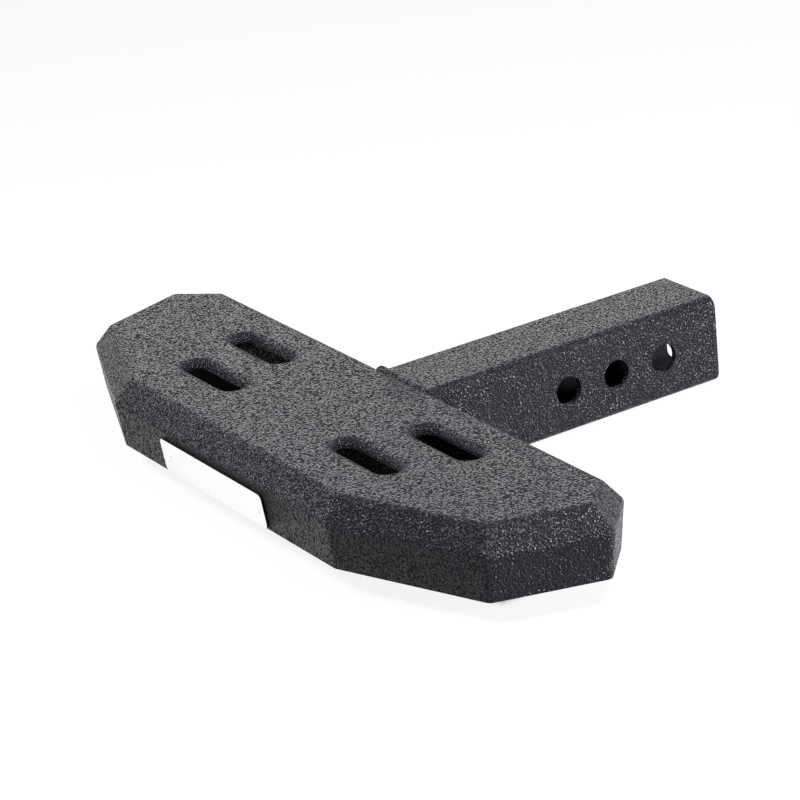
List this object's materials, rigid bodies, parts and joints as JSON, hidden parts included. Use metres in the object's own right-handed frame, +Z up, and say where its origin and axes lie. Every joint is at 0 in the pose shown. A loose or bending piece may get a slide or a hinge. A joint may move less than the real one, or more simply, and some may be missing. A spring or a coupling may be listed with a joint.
{
  "type": "receiver hitch step",
  "caption": "Long slotted foot step of folded steel on a square receiver shank with pin holes, coated all over, with a bare name plate.",
  "frame": {"origin": "middle of the outermost pin hole, on the shank's centre line", "axes": "+X along the step pad, +Y towards the shank's open end, +Z up through the tread"},
  "size_m": [0.4352, 0.3102, 0.0542],
  "materials": {
    "coated_steel": "coarse grained black coating, half matt",
    "coated_weld": "coarse grained black coating over a weld bead",
    "bare_plate": "bright satin metal, no lettering",
    "rivet_metal": "bright satin"
  },
  "bodies": {
    "root": {"step_shell": "coated_steel", "shank_tube": "coated_steel", "shank_welds": "coated_weld", "name_plate": "bare_plate", "plate_rivets": "rivet_metal"}
  },
  "joints": []
}
